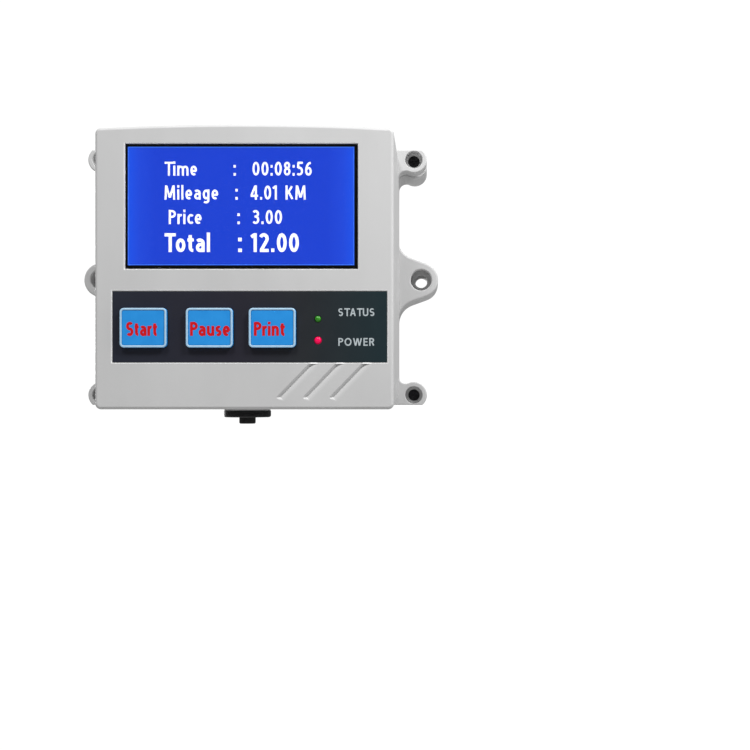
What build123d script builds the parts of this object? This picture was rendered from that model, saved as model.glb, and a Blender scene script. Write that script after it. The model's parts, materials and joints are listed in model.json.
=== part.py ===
from build123d import *

import math
import os

# Wall-mounted taxi meter: a two-shell plastic case with lugs, a display window, three keys,
# two indicator lamps, a cable gland underneath and the electronics that it needs inside.
#
# Row frame, millimetres: +Z up, +X to the right as the driver sees it, -Y towards the driver.
# The origin is midway between the two wall-mounting holes, on the mounting face (Y = 0).
# Depths are given as heights above the mounting face, so a height h lies at Y = -h.

os.makedirs("parts", exist_ok=True)

# Case
CASE_DEPTH = 44.0
SEAM = 15.5
SEAM_GAP = 0.5
REAR_TOP = SEAM - SEAM_GAP / 2
COVER_FOOT = SEAM + SEAM_GAP / 2
SEAM_HALF_WIDTH, SEAM_BOTTOM, SEAM_TOP = 44.3, -41.3, 41.1
FRONT_HALF_WIDTH, FRONT_BOTTOM, FRONT_TOP = 43.5, -41.15, 40.75
BACK_HALF_WIDTH, BACK_BOTTOM, BACK_TOP = 43.85, -40.95, 40.8
CROWN = 1.15
SEAM_CORNER, FRONT_CORNER = 6.0, 1.5
INNER_FRONT_CORNER = 0.8
FRONT_ROUND = 0.9
BACK_ROUND = 1.0
WALL = 2.2
FRONT_WALL = 2.5
INNER_FRONT = CASE_DEPTH - FRONT_WALL
LIP_FOOT, LIP_TOP, LIP_STEP, LIP_INSET, LIP_NOTCH = 11.5, 18.5, 2.5, 3.7, 15.0
GASKET_INSET = 0.5

# Corner lugs, which hold the cover screws
CORNER_LUG_X, CORNER_LUG_Z = 49.0, 36.85
CORNER_LUG_RADIUS, CORNER_LUG_FLAT = 4.05, 3.1
CORNER_LUG_FILLET = 2.4
COVER_LUG_FRONT = 21.0
LEDGE_BORE_RADIUS, LEDGE_BORE_DEPTH = 2.7, 2.8
HEAD_BORE_RADIUS, HEAD_BORE_DEPTH = 1.85, 1.4
HEAD_SEAT = COVER_LUG_FRONT - LEDGE_BORE_DEPTH - HEAD_BORE_DEPTH
SCREW_HEAD_RADIUS, SCREW_HEAD_HEIGHT = 1.75, 1.2
SCREW_RADIUS, SCREW_CLEARANCE = 1.0, 0.1
INSERT_RADIUS, INSERT_LENGTH = 1.6, 6.0
SCREW_TIP = 4.5
LUG_BORE_DEPTH = COVER_LUG_FRONT - COVER_FOOT + 0.1

CORNER_LUG_ROUND, CORNER_BORE_CHAMFER = 0.35, 0.15
REAR_LUG_TOP, REAR_LUG_ROUND, REAR_LUG_BOSS_RADIUS = 12.9, 0.12, 2.7

# Side lugs, which take the wall screws
SIDE_LUG_X = 51.2
SIDE_LUG_RADIUS, SIDE_LUG_SLOPE = 5.5, 20.0
SIDE_LUG_FRONT = 14.0
SIDE_LUG_FILLET = 6.5
SIDE_LUG_STRIP = 14.0
SIDE_LUG_ROUND, SIDE_BORE_CHAMFER = 0.6, 0.3
WALL_HOLE_RADIUS = 2.0
WALL_HOLE_BORE_RADIUS, WALL_HOLE_BORE_DEPTH = 3.35, 5.1

# Display window and what stands behind it
WINDOW_X, WINDOW_Z = -0.8, 18.0
WINDOW_WIDTH, WINDOW_HEIGHT = 67.8, 36.5
VIEW_X, VIEW_Z = -1.1, 18.25
VIEW_WIDTH, VIEW_HEIGHT = 66.2, 34.7
FIT_GAP = 0.1
LENS_FRONT, LENS_BACK = 43.8, 42.8
BEZEL_FLANGE_WIDTH, BEZEL_FLANGE_HEIGHT, BEZEL_FLANGE_BACK = 69.9, 38.4, 40.3
GLASS_FRONT, GLASS_BACK = 42.6, 40.2
BACKLIGHT_BACK = 37.6
BOARD = 1.6
DISPLAY_BOARD_BACK = BACKLIGHT_BACK - BOARD
DISPLAY_BOARD_Z = 17.5
DISPLAY_BOARD_WIDTH, DISPLAY_BOARD_HEIGHT = 79.0, 40.0
DISPLAY_POST_X, DISPLAY_POST_Z = 37.45, 17.2

# Keys, fascia and lamps
FASCIA_X, FASCIA_Z = 1.6, -17.1
FASCIA_WIDTH, FASCIA_HEIGHT = 80.0, 20.8
FASCIA_RECESS, FASCIA_THICKNESS = 0.8, 0.7
RIM_CHAMFER = 0.25
KEY_XS = {"start": -29.15, "pause": -9.95, "print": 8.3}
KEY_Z = -17.45
KEY_WIDTH, KEY_HEIGHT, KEY_CORNER = 13.6, 11.5, 1.2
KEY_GAP = 0.15
KEY_FRONT = 45.0
KEY_SKIN = 1.5
KEY_EDGE_ROUND = 0.5
KEY_FLANGE_EDGE, KEY_FLANGE_FRONT, KEY_FLANGE_BACK = 1.2, 41.4, 40.4
KEY_STEM_RADIUS, KEY_STEM_BACK = 2.0, 39.5
PLUNGER_RADIUS, PLUNGER_LENGTH = 1.75, 2.6
SWITCH_SIDE, SWITCH_FRONT, SWITCH_BORE_DEPTH = 6.2, 38.0, 2.1
KEY_BOARD_FRONT = 34.6
KEY_BOARD_BACK = KEY_BOARD_FRONT - BOARD
KEY_BOARD_Z, KEY_BOARD_WIDTH, KEY_BOARD_HEIGHT = -17.2, 78.0, 25.6
KEY_POST_X, KEY_POST_Z = 36.5, 10.2
LAMP_X = 21.45
LAMPS = {"status": (-14.8, 0.9), "power": (-21.0, 1.0)}
LAMP_FRONT, LAMP_FLANGE_FRONT, LAMP_FLANGE_BACK = 44.3, 38.5, 37.5
LAMP_LEG_SPREAD, LAMP_LEG_RADIUS = 0.9, 0.25
POST_RADIUS = 2.2
BOARD_SCREW_HEAD_RADIUS, BOARD_SCREW_HEAD_HEIGHT = 1.9, 1.2
DISPLAY_SCREW_REACH, KEY_SCREW_REACH, MAIN_SCREW_REACH = 3.4, 5.0, 5.0

# Slanted grooves below the fascia
GROOVE_TOP_X, GROOVE_TOP_Z = 21.3, -25.2
GROOVE_RUN, GROOVE_DROP = 11.4, 11.8
GROOVE_PITCH, GROOVE_DEPTH, GROOVE_WALL, GROOVE_WIDTH = 7.7, 0.65, 0.75, 2.4
GROOVE_END = 0.9

# Main board
MAIN_BOARD_BACK = 8.2
MAIN_BOARD_FRONT = MAIN_BOARD_BACK + BOARD
MAIN_BOARD_Z, MAIN_BOARD_WIDTH, MAIN_BOARD_HEIGHT = 3.0, 76.0, 62.0
MAIN_POST_X, MAIN_POST_Z = 34.0, 27.0
MAIN_POST_RADIUS = 3.0

CONTROLLER_AT, CONTROLLER_SIDE, CONTROLLER_HEIGHT = (-8, 14), 10.0, 1.4
CONTROLLER_PINS, CONTROLLER_PITCH = 11, 0.8
RADIO_AT = (21, 17)
CRYSTAL_AT = (-8, 4)
CELL_AT, CELL_RADIUS, CELL_HEIGHT = (-25, 10), 6.25, 2.5
BUZZER_AT = (-28, -9)
REGULATOR_AT = (14, -9)
CAPACITORS_AT = [(25, -8), (25, -17.5)]
FUSE_AT = (-16, -10)
DISPLAY_HEADER_AT, DISPLAY_SOCKET_Z = (-8, 28), 20.0
KEY_HEADER_AT, KEY_SOCKET_Z = (2, -9), -13.0
RIBBON_WIDTH, RIBBON_THICKNESS, RIBBON_BEND = 11.0, 0.5, 2.5
HEADER_DEPTH, HEADER_HEIGHT = 4.0, 3.5
TERMINALS_AT, TERMINAL_WAYS, TERMINAL_PITCH, TERMINAL_HEIGHT = (-5.4, -22), 6, 5.0, 9.0

# Cable gland
GLAND_X, GLAND_H = -5.4, 7.9
GLAND_PAD_RADIUS, GLAND_PAD_Z = 7.6, -41.45
GLAND_WASHER_RADIUS, GLAND_WASHER_Z = 7.4, -41.85
GLAND_FLANGE_RADIUS, GLAND_FLANGE_Z = 7.6, -44.0
GLAND_SHANK_RADIUS, GLAND_SHANK_TOP = 4.0, -34.0
LOCKNUT_ACROSS_FLATS, LOCKNUT_HEIGHT = 11.0, 3.5
SLEEVE_RADIUS, SLEEVE_BORE_RADIUS = 2.65, 1.9
SLEEVE_FOOT_Z, SLEEVE_TOP_Z = -46.1, -33.0

SIDES = (-1, 1)


def level(h):
    """Sketch plane at height h above the mounting face, facing the driver, local y up."""
    return Plane.XZ.offset(h)


def spot(x, z, h):
    """Plane facing the driver with its origin at (x, z) and height h."""
    return Plane((x, -h, z), x_dir=(1, 0, 0), z_dir=(0, -1, 0))


def above(z):
    """Horizontal plane at height z, centred on the cable gland."""
    return Plane((GLAND_X, -GLAND_H, z), x_dir=(1, 0, 0), z_dir=(0, 0, 1))


def save(built, name):
    """Labels a finished piece and writes its STEP file."""
    built.part.label = name
    export_step(built.part, f"parts/{name}.step")


def case_outline(half_width, bottom, top, corner):
    """The case seen from the front: straight foot and sides under a shallow arched top."""
    with BuildSketch() as outline:
        with BuildLine():
            foot = Line((-half_width, bottom), (half_width, bottom))
            right = Line(foot @ 1, (half_width, top))
            roof = ThreePointArc(right @ 1, (0, top + CROWN), (-half_width, top))
            Line(roof @ 1, foot @ 0)
        make_face()
        fillet(vertices(), corner)
    return outline.sketch


def seam_outline(inset):
    """The case outline at the seam, moved inwards all round."""
    return case_outline(
        SEAM_HALF_WIDTH - inset, SEAM_BOTTOM + inset, SEAM_TOP - inset, SEAM_CORNER - inset
    )


def corner_lug(wall_x):
    """The top right lug about its own hole: a circle with a flat on top and a concave neck."""
    wall = wall_x - CORNER_LUG_X
    inner = wall - SEAM_CORNER / 2
    flat_end = math.sqrt(CORNER_LUG_RADIUS**2 - CORNER_LUG_FLAT**2)
    neck = Vector(wall + CORNER_LUG_FILLET, 0)
    neck -= Vector(0, math.sqrt((CORNER_LUG_RADIUS + CORNER_LUG_FILLET) ** 2 - neck.X**2))
    touch = neck * (CORNER_LUG_RADIUS / (CORNER_LUG_RADIUS + CORNER_LUG_FILLET))
    to_lug = -neck.normalized()
    halfway = (to_lug + Vector(-1, 0)).normalized()
    with BuildSketch() as outline:
        with BuildLine():
            Line((inner, CORNER_LUG_FLAT), (flat_end, CORNER_LUG_FLAT))
            ThreePointArc((flat_end, CORNER_LUG_FLAT), (CORNER_LUG_RADIUS, 0), touch)
            ThreePointArc(touch, neck + halfway * CORNER_LUG_FILLET, (wall, neck.Y))
            Polyline((wall, neck.Y), (inner, neck.Y), (inner, CORNER_LUG_FLAT))
        make_face()
    return outline.sketch


def side_lug():
    """The right lug for a wall screw: a round tip that widens into the wall with large fillets."""
    slope = math.radians(SIDE_LUG_SLOPE)
    tip_x = SIDE_LUG_X + SIDE_LUG_RADIUS * math.sin(slope)
    tip_z = SIDE_LUG_RADIUS * math.cos(slope)
    wall = BACK_HALF_WIDTH
    inner = BACK_HALF_WIDTH - WALL / 2
    root = SIDE_LUG_RADIUS / math.cos(slope) + (SIDE_LUG_X - wall) * math.tan(slope)
    with BuildSketch() as outline:
        with BuildLine():
            ThreePointArc((tip_x, tip_z), (SIDE_LUG_X + SIDE_LUG_RADIUS, 0), (tip_x, -tip_z))
            Polyline(
                (tip_x, -tip_z),
                (wall, -root),
                (wall, -SIDE_LUG_STRIP),
                (inner, -SIDE_LUG_STRIP),
                (inner, SIDE_LUG_STRIP),
                (wall, SIDE_LUG_STRIP),
                (wall, root),
                (tip_x, tip_z),
            )
        make_face()
        roots = vertices().group_by(Axis.X)[1].sort_by(Axis.Y)[1:-1]
        fillet(roots, SIDE_LUG_FILLET)
    return outline.sketch


def rounded_lug(outline, x, z, foot, front, edge_round):
    """A lug extruded from its outline, with its front edge rounded all round but the wall side."""
    with BuildPart() as lug:
        with BuildSketch(level(foot)):
            with Locations((x, z)):
                add(outline)
        extrude(amount=front - foot)
        rim = faces().sort_by(Axis.Y)[0].edges()
        fillet(rim.sort_by(Axis.X)[1:], edge_round)
    return lug.part


def four_ways(lug):
    """Adds the top right lug and its three mirror images."""
    for upper in (lug, lug.mirror(Plane.YZ)):
        add(upper)
        add(upper.mirror(Plane.XY))


def groove_section(depth, wall, width):
    """A groove's section: a steep upper wall, then a bottom that curves out to meet the face."""
    with BuildSketch() as section:
        with BuildLine():
            steep = Line((0, 0), (wall, -depth))
            bottom = TangentArc((width, 0), steep @ 1, tangent=(-1, 0))
            Polyline(steep @ 0, (0, 0.5), (width, 0.5), (width, 0))
        make_face()
    return section.sketch


def bore_mouths(h, radius):
    """The circular edges of a given radius that lie at height h on the part being built."""
    circles = edges().filter_by(GeomType.CIRCLE).filter_by_position(Axis.Y, -h - 0.01, -h + 0.01)
    return circles.filter_by(lambda edge: abs(edge.radius - radius) < 0.01)


def grid(x0, z0, half_x, half_z):
    """The four corners of a rectangle centred on (x0, z0)."""
    return [(x0 + right * half_x, z0 + up * half_z) for right in SIDES for up in SIDES]


def screws(positions, seat, towards_driver, head_radius, head_height, reach):
    """Pan-head screws with a cross recess; each head sits on the level called seat."""
    facing = -1 if towards_driver else 1
    with BuildPart() as group:
        for x, z in positions:
            under_head = Plane((x, -seat, z), x_dir=(1, 0, 0), z_dir=(0, -facing, 0))
            with BuildSketch(under_head):
                Circle(SCREW_RADIUS)
            extrude(amount=reach)
            with BuildSketch(under_head):
                Circle(head_radius)
            extrude(amount=-head_height)
            top = under_head.offset(-head_height)
            with BuildSketch(top):
                Rectangle(1.3 * head_radius, 0.3 * head_radius)
                Rectangle(0.3 * head_radius, 1.3 * head_radius)
            extrude(amount=head_height / 2, mode=Mode.SUBTRACT)
    return group


def bare_board(x0, z0, width, height, back, screw_positions):
    """A circuit board with rounded corners and its screw holes."""
    with BuildPart() as board:
        with BuildSketch(level(back)):
            with Locations((x0, z0)):
                RectangleRounded(width, height, 1.5)
            with Locations(*screw_positions):
                Circle(SCREW_RADIUS + SCREW_CLEARANCE, mode=Mode.SUBTRACT)
        extrude(amount=BOARD)
    return board


def ribbon(x0, width, route):
    """A flat cable that runs in the plane x = x0 along points given as (height, z)."""
    with BuildPart() as band:
        with BuildSketch(Plane.YZ.offset(x0)):
            with BuildLine():
                FilletPolyline(*[(-h, z) for h, z in route], radius=RIBBON_BEND)
            trace(line_width=RIBBON_THICKNESS)
        extrude(amount=width / 2, both=True)
    return band


DISPLAY_POSTS = grid(WINDOW_X, DISPLAY_BOARD_Z, DISPLAY_POST_X, DISPLAY_POST_Z)
KEY_POSTS = grid(0, KEY_BOARD_Z, KEY_POST_X, KEY_POST_Z)
MAIN_POSTS = grid(0, MAIN_BOARD_Z, MAIN_POST_X, MAIN_POST_Z)
COVER_SCREWS = grid(0, 0, CORNER_LUG_X, CORNER_LUG_Z)
KEYS = [(x, KEY_Z) for x in KEY_XS.values()]

# ---------------------------------------------------------------- case shells

with BuildPart() as front_cover:
    with BuildSketch(level(COVER_FOOT)):
        add(seam_outline(0))
    with BuildSketch(level(CASE_DEPTH)):
        add(case_outline(FRONT_HALF_WIDTH, FRONT_BOTTOM, FRONT_TOP, FRONT_CORNER))
    loft()
    fillet(faces().sort_by(Axis.Y)[0].edges(), FRONT_ROUND)
    cover_lug = corner_lug(SEAM_HALF_WIDTH - 0.2)
    four_ways(rounded_lug(cover_lug, CORNER_LUG_X, CORNER_LUG_Z, COVER_FOOT, COVER_LUG_FRONT, CORNER_LUG_ROUND))
    with BuildSketch(level(COVER_FOOT)):
        add(seam_outline(WALL))
    with BuildSketch(level(INNER_FRONT)):
        add(
            case_outline(
                FRONT_HALF_WIDTH - WALL, FRONT_BOTTOM + WALL, FRONT_TOP - WALL, INNER_FRONT_CORNER
            )
        )
    loft(mode=Mode.SUBTRACT)
    # Posts for the display board and the key board
    with BuildSketch(level(BACKLIGHT_BACK)):
        with Locations(*DISPLAY_POSTS):
            Circle(POST_RADIUS)
    extrude(until=Until.NEXT)
    with BuildSketch(level(KEY_BOARD_FRONT)):
        with Locations(*KEY_POSTS):
            Circle(POST_RADIUS)
    extrude(until=Until.NEXT)
    for posts, foot, reach in (
        (DISPLAY_POSTS, BACKLIGHT_BACK, DISPLAY_SCREW_REACH),
        (KEY_POSTS, KEY_BOARD_FRONT, KEY_SCREW_REACH),
    ):
        with BuildSketch(level(foot)):
            with Locations(*posts):
                Circle(SCREW_RADIUS)
        extrude(amount=reach, mode=Mode.SUBTRACT)
    # Display window, fascia recess, and the key and lamp openings
    with BuildSketch(level(INNER_FRONT - 1)):
        with Locations((WINDOW_X, WINDOW_Z)):
            Rectangle(WINDOW_WIDTH, WINDOW_HEIGHT)
    extrude(amount=FRONT_WALL + 2, mode=Mode.SUBTRACT)
    with BuildSketch(level(CASE_DEPTH - FASCIA_RECESS)):
        with Locations((FASCIA_X, FASCIA_Z)):
            Rectangle(FASCIA_WIDTH, FASCIA_HEIGHT)
    extrude(amount=FASCIA_RECESS + 1, mode=Mode.SUBTRACT)
    with BuildSketch(level(INNER_FRONT - 1)):
        with Locations(*KEYS):
            RectangleRounded(KEY_WIDTH + 2 * KEY_GAP, KEY_HEIGHT + 2 * KEY_GAP, KEY_CORNER + KEY_GAP)
        for lamp_z, lamp_radius in LAMPS.values():
            with Locations((LAMP_X, lamp_z)):
                Circle(lamp_radius + KEY_GAP)
    extrude(amount=FRONT_WALL + 2, mode=Mode.SUBTRACT)
    chamfer(faces().sort_by(Axis.Y)[0].inner_wires().edges(), RIM_CHAMFER)
    # Slanted grooves, each with a short run-out at its lower end
    groove_length = math.hypot(GROOVE_RUN, GROOVE_DROP)
    along = Vector(-GROOVE_RUN, 0, -GROOVE_DROP) / groove_length
    across = Vector(GROOVE_DROP, 0, -GROOVE_RUN) / groove_length
    for i in range(3):
        top = Plane((GROOVE_TOP_X + i * GROOVE_PITCH, -CASE_DEPTH, GROOVE_TOP_Z), across, along)
        with BuildSketch(top):
            add(groove_section(GROOVE_DEPTH, GROOVE_WALL, GROOVE_WIDTH))
        extrude(amount=groove_length, mode=Mode.SUBTRACT)
        with BuildSketch(top.offset(groove_length)):
            add(groove_section(GROOVE_DEPTH, GROOVE_WALL, GROOVE_WIDTH))
        with BuildSketch(top.offset(groove_length + GROOVE_END)):
            add(groove_section(GROOVE_DEPTH / 8, GROOVE_WALL / 4, GROOVE_WIDTH / 3))
        loft(mode=Mode.SUBTRACT)
    # Stepped bores for the cover screws
    with Locations(*[spot(x, z, COVER_LUG_FRONT) for x, z in COVER_SCREWS]):
        CounterBoreHole(SCREW_RADIUS + SCREW_CLEARANCE, LEDGE_BORE_RADIUS, LEDGE_BORE_DEPTH, LUG_BORE_DEPTH)
        Hole(HEAD_BORE_RADIUS, LEDGE_BORE_DEPTH + HEAD_BORE_DEPTH)
    chamfer(bore_mouths(COVER_LUG_FRONT, LEDGE_BORE_RADIUS), CORNER_BORE_CHAMFER)
save(front_cover, "front_cover")

with BuildPart() as rear_case:
    with BuildSketch(level(0)):
        add(case_outline(BACK_HALF_WIDTH, BACK_BOTTOM, BACK_TOP, SEAM_CORNER))
    with BuildSketch(level(REAR_TOP)):
        add(seam_outline(0))
    loft()
    fillet(faces().sort_by(Axis.Y)[-1].edges(), BACK_ROUND)
    rear_lug = corner_lug(BACK_HALF_WIDTH)
    four_ways(rounded_lug(rear_lug, CORNER_LUG_X, CORNER_LUG_Z, 0, REAR_LUG_TOP, REAR_LUG_ROUND))
    with BuildSketch(level(0)):
        with Locations(*COVER_SCREWS):
            Circle(REAR_LUG_BOSS_RADIUS)
    extrude(amount=REAR_TOP)
    right_lug = rounded_lug(side_lug(), 0, 0, 0, SIDE_LUG_FRONT, SIDE_LUG_ROUND)
    add(right_lug)
    mirror(right_lug, about=Plane.YZ)
    # Flat pad under the gland
    with BuildSketch(above(GLAND_PAD_Z)):
        Circle(GLAND_PAD_RADIUS)
    extrude(amount=SEAM_BOTTOM - GLAND_PAD_Z + WALL / 2)
    with BuildSketch(level(REAR_TOP)):
        Rectangle(2 * SEAM_HALF_WIDTH, 3 * SEAM_HALF_WIDTH)
    extrude(amount=SEAM, mode=Mode.SUBTRACT)
    # Hollow, then a lip that locates the cover, notched over the gland's locknut
    with BuildSketch(level(WALL)):
        add(seam_outline(WALL))
    extrude(amount=SEAM, mode=Mode.SUBTRACT)
    for foot, top, inset in ((LIP_FOOT, REAR_TOP, WALL - 0.5), (REAR_TOP - 0.5, LIP_TOP, LIP_STEP)):
        with BuildSketch(level(foot)):
            add(seam_outline(inset))
            add(seam_outline(LIP_INSET), mode=Mode.SUBTRACT)
        extrude(amount=top - foot)
    with BuildSketch(level(LIP_FOOT - 1)):
        with Locations((GLAND_X, SEAM_BOTTOM + WALL)):
            Rectangle(LIP_NOTCH, 4, align=(Align.CENTER, Align.MIN))
    extrude(amount=SEAM, mode=Mode.SUBTRACT)
    # Posts for the main board
    with BuildSketch(level(WALL / 2)):
        with Locations(*MAIN_POSTS):
            Circle(MAIN_POST_RADIUS)
    extrude(amount=MAIN_BOARD_BACK - WALL / 2)
    with BuildSketch(level(MAIN_BOARD_BACK)):
        with Locations(*MAIN_POSTS):
            Circle(SCREW_RADIUS)
    extrude(amount=BOARD - MAIN_SCREW_REACH, mode=Mode.SUBTRACT)
    # Holes for the wall screws, the thread inserts and the gland
    for x in (-SIDE_LUG_X, SIDE_LUG_X):
        with Locations(spot(x, 0, SIDE_LUG_FRONT)):
            CounterBoreHole(WALL_HOLE_RADIUS, WALL_HOLE_BORE_RADIUS, WALL_HOLE_BORE_DEPTH)
    chamfer(bore_mouths(SIDE_LUG_FRONT, WALL_HOLE_BORE_RADIUS), SIDE_BORE_CHAMFER)
    with Locations(*[spot(x, z, REAR_TOP) for x, z in COVER_SCREWS]):
        CounterBoreHole(SCREW_RADIUS + SCREW_CLEARANCE, INSERT_RADIUS, INSERT_LENGTH, REAR_TOP - SCREW_TIP)
    with Locations(above(GLAND_PAD_Z).rotated((180, 0, 0))):
        Hole(GLAND_SHANK_RADIUS, 2 * WALL)
save(rear_case, "rear_case")

with BuildPart() as cover_gasket:
    with BuildSketch(level(REAR_TOP)):
        add(seam_outline(GASKET_INSET))
        add(seam_outline(WALL), mode=Mode.SUBTRACT)
    extrude(amount=SEAM_GAP)
save(cover_gasket, "cover_gasket")

cover_screws = screws(
    COVER_SCREWS, HEAD_SEAT, True, SCREW_HEAD_RADIUS, SCREW_HEAD_HEIGHT, HEAD_SEAT - SCREW_TIP
)
save(cover_screws, "cover_screws")

with BuildPart() as screw_inserts:
    with BuildSketch(level(REAR_TOP - INSERT_LENGTH)):
        with Locations(*COVER_SCREWS):
            Circle(INSERT_RADIUS)
            Circle(SCREW_RADIUS, mode=Mode.SUBTRACT)
    extrude(amount=INSERT_LENGTH)
save(screw_inserts, "screw_inserts")

# ---------------------------------------------------------------- display

with BuildPart() as display_bezel:
    with BuildSketch(level(BEZEL_FLANGE_BACK)):
        with Locations((WINDOW_X, WINDOW_Z)):
            Rectangle(BEZEL_FLANGE_WIDTH, BEZEL_FLANGE_HEIGHT)
    extrude(amount=INNER_FRONT - BEZEL_FLANGE_BACK)
    with BuildSketch(level(INNER_FRONT)):
        with Locations((WINDOW_X, WINDOW_Z)):
            Rectangle(WINDOW_WIDTH - 2 * FIT_GAP, WINDOW_HEIGHT - 2 * FIT_GAP)
    extrude(amount=LENS_BACK - INNER_FRONT)
    with BuildSketch(level(BEZEL_FLANGE_BACK)):
        with Locations((VIEW_X, VIEW_Z)):
            Rectangle(VIEW_WIDTH, VIEW_HEIGHT)
    extrude(amount=LENS_BACK - BEZEL_FLANGE_BACK, mode=Mode.SUBTRACT)
save(display_bezel, "display_bezel")

with BuildPart() as display_lens:
    with BuildSketch(level(LENS_BACK)):
        with Locations((WINDOW_X, WINDOW_Z)):
            Rectangle(WINDOW_WIDTH - 2 * FIT_GAP, WINDOW_HEIGHT - 2 * FIT_GAP)
    extrude(amount=LENS_FRONT - LENS_BACK)
    chamfer(faces().sort_by(Axis.Y)[0].edges(), 0.15)
save(display_lens, "display_lens")

with BuildPart() as lcd_glass:
    with BuildSketch(level(GLASS_BACK)):
        with Locations((VIEW_X, VIEW_Z)):
            Rectangle(VIEW_WIDTH - FIT_GAP, VIEW_HEIGHT - FIT_GAP)
    extrude(amount=GLASS_FRONT - GLASS_BACK)
save(lcd_glass, "lcd_glass")

with BuildPart() as lcd_backlight:
    with BuildSketch(level(BACKLIGHT_BACK)):
        with Locations((VIEW_X, VIEW_Z)):
            Rectangle(VIEW_WIDTH + 3, VIEW_HEIGHT + 3)
    extrude(amount=GLASS_BACK - BACKLIGHT_BACK)
save(lcd_backlight, "lcd_backlight")

display_board = bare_board(
    WINDOW_X, DISPLAY_BOARD_Z, DISPLAY_BOARD_WIDTH, DISPLAY_BOARD_HEIGHT, DISPLAY_BOARD_BACK, DISPLAY_POSTS
)
save(display_board, "display_board")

display_board_screws = screws(
    DISPLAY_POSTS,
    DISPLAY_BOARD_BACK,
    False,
    BOARD_SCREW_HEAD_RADIUS,
    BOARD_SCREW_HEAD_HEIGHT,
    BOARD + DISPLAY_SCREW_REACH,
)
save(display_board_screws, "display_board_screws")

# ---------------------------------------------------------------- fascia, keys and lamps

with BuildPart() as fascia_panel:
    with BuildSketch(level(CASE_DEPTH - FASCIA_RECESS)):
        with Locations((FASCIA_X, FASCIA_Z)):
            Rectangle(FASCIA_WIDTH - 2 * FIT_GAP, FASCIA_HEIGHT - 2 * FIT_GAP)
        with Locations(*KEYS):
            RectangleRounded(
                KEY_WIDTH + 2 * KEY_GAP, KEY_HEIGHT + 2 * KEY_GAP, KEY_CORNER + KEY_GAP, mode=Mode.SUBTRACT
            )
        for lamp_z, lamp_radius in LAMPS.values():
            with Locations((LAMP_X, lamp_z)):
                Circle(lamp_radius + KEY_GAP, mode=Mode.SUBTRACT)
    extrude(amount=FASCIA_THICKNESS)
save(fascia_panel, "fascia_panel")

for key_name, key_x in KEY_XS.items():
    with BuildPart() as key:
        with BuildSketch(level(KEY_FLANGE_FRONT)):
            with Locations((key_x, KEY_Z)):
                RectangleRounded(KEY_WIDTH, KEY_HEIGHT, KEY_CORNER)
        extrude(amount=KEY_FRONT - KEY_FLANGE_FRONT)
        fillet(faces().sort_by(Axis.Y)[0].edges(), KEY_EDGE_ROUND)
        with BuildSketch(level(KEY_FLANGE_BACK)):
            with Locations((key_x, KEY_Z)):
                Rectangle(KEY_WIDTH + 2 * KEY_FLANGE_EDGE, KEY_HEIGHT + 2 * KEY_FLANGE_EDGE)
        extrude(amount=KEY_FLANGE_FRONT - KEY_FLANGE_BACK)
        with BuildSketch(level(KEY_FLANGE_BACK)):
            with Locations((key_x, KEY_Z)):
                Rectangle(KEY_WIDTH - 2 * KEY_SKIN, KEY_HEIGHT - 2 * KEY_SKIN)
        extrude(amount=KEY_FRONT - KEY_SKIN - KEY_FLANGE_BACK, mode=Mode.SUBTRACT)
        with BuildSketch(level(KEY_STEM_BACK)):
            with Locations((key_x, KEY_Z)):
                Circle(KEY_STEM_RADIUS)
        extrude(amount=KEY_FRONT - KEY_SKIN / 2 - KEY_STEM_BACK)
    save(key, f"{key_name}_key")

    with BuildPart() as plunger:
        with BuildSketch(level(KEY_STEM_BACK - PLUNGER_LENGTH)):
            with Locations((key_x, KEY_Z)):
                Circle(PLUNGER_RADIUS)
        extrude(amount=PLUNGER_LENGTH)
    save(plunger, f"{key_name}_switch_plunger")

with BuildPart() as key_switches:
    with BuildSketch(level(KEY_BOARD_FRONT)):
        with Locations(*KEYS):
            RectangleRounded(SWITCH_SIDE, SWITCH_SIDE, 0.5)
    extrude(amount=SWITCH_FRONT - KEY_BOARD_FRONT)
    with BuildSketch(level(SWITCH_FRONT)):
        with Locations(*KEYS):
            Circle(PLUNGER_RADIUS + FIT_GAP)
    extrude(amount=-SWITCH_BORE_DEPTH, mode=Mode.SUBTRACT)
save(key_switches, "key_switches")

with BuildPart() as key_board:
    add(bare_board(0, KEY_BOARD_Z, KEY_BOARD_WIDTH, KEY_BOARD_HEIGHT, KEY_BOARD_BACK, KEY_POSTS).part)
    with BuildSketch(level(KEY_BOARD_BACK)):
        with Locations(*[(LAMP_X, lamp_z) for lamp_z, _ in LAMPS.values()]):
            with GridLocations(2 * LAMP_LEG_SPREAD, 0, 2, 1):
                Circle(LAMP_LEG_RADIUS + FIT_GAP)
    extrude(amount=BOARD, mode=Mode.SUBTRACT)
save(key_board, "key_board")

key_board_screws = screws(
    KEY_POSTS,
    KEY_BOARD_BACK,
    False,
    BOARD_SCREW_HEAD_RADIUS,
    BOARD_SCREW_HEAD_HEIGHT,
    BOARD + KEY_SCREW_REACH,
)
save(key_board_screws, "key_board_screws")

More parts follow.
